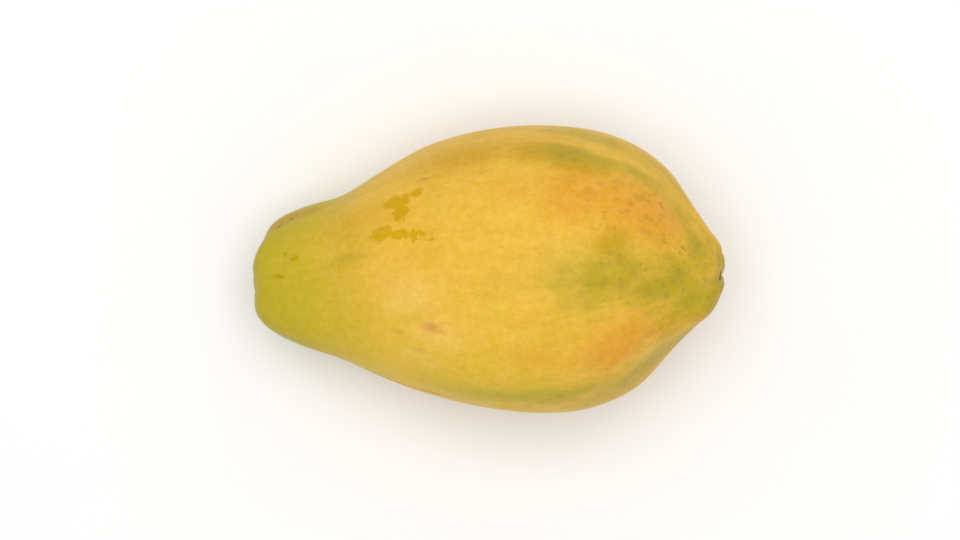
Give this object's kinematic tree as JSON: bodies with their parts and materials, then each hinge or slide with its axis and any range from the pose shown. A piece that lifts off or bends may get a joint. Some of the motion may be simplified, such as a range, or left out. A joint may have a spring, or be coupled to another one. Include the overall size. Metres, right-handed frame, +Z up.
{
  "type": "papaya fruit",
  "caption": "Small ripe whole papaya: pear-shaped, yellow skin with olive mottling, stalk scar on the neck, soft lobes meeting in a puckered blossom end.",
  "frame": {"origin": "centre of the bounding box at its bottom, on the surface that the fruit lies on", "axes": "+X along the fruit towards the blossom end, the stalk end at -X; +Z up, away from the flat spot it rests on"},
  "size_m": [0.1454, 0.0884, 0.087],
  "materials": {
    "papaya_skin": "satin"
  },
  "bodies": {
    "root": {"papaya": "papaya_skin"}
  },
  "joints": []
}
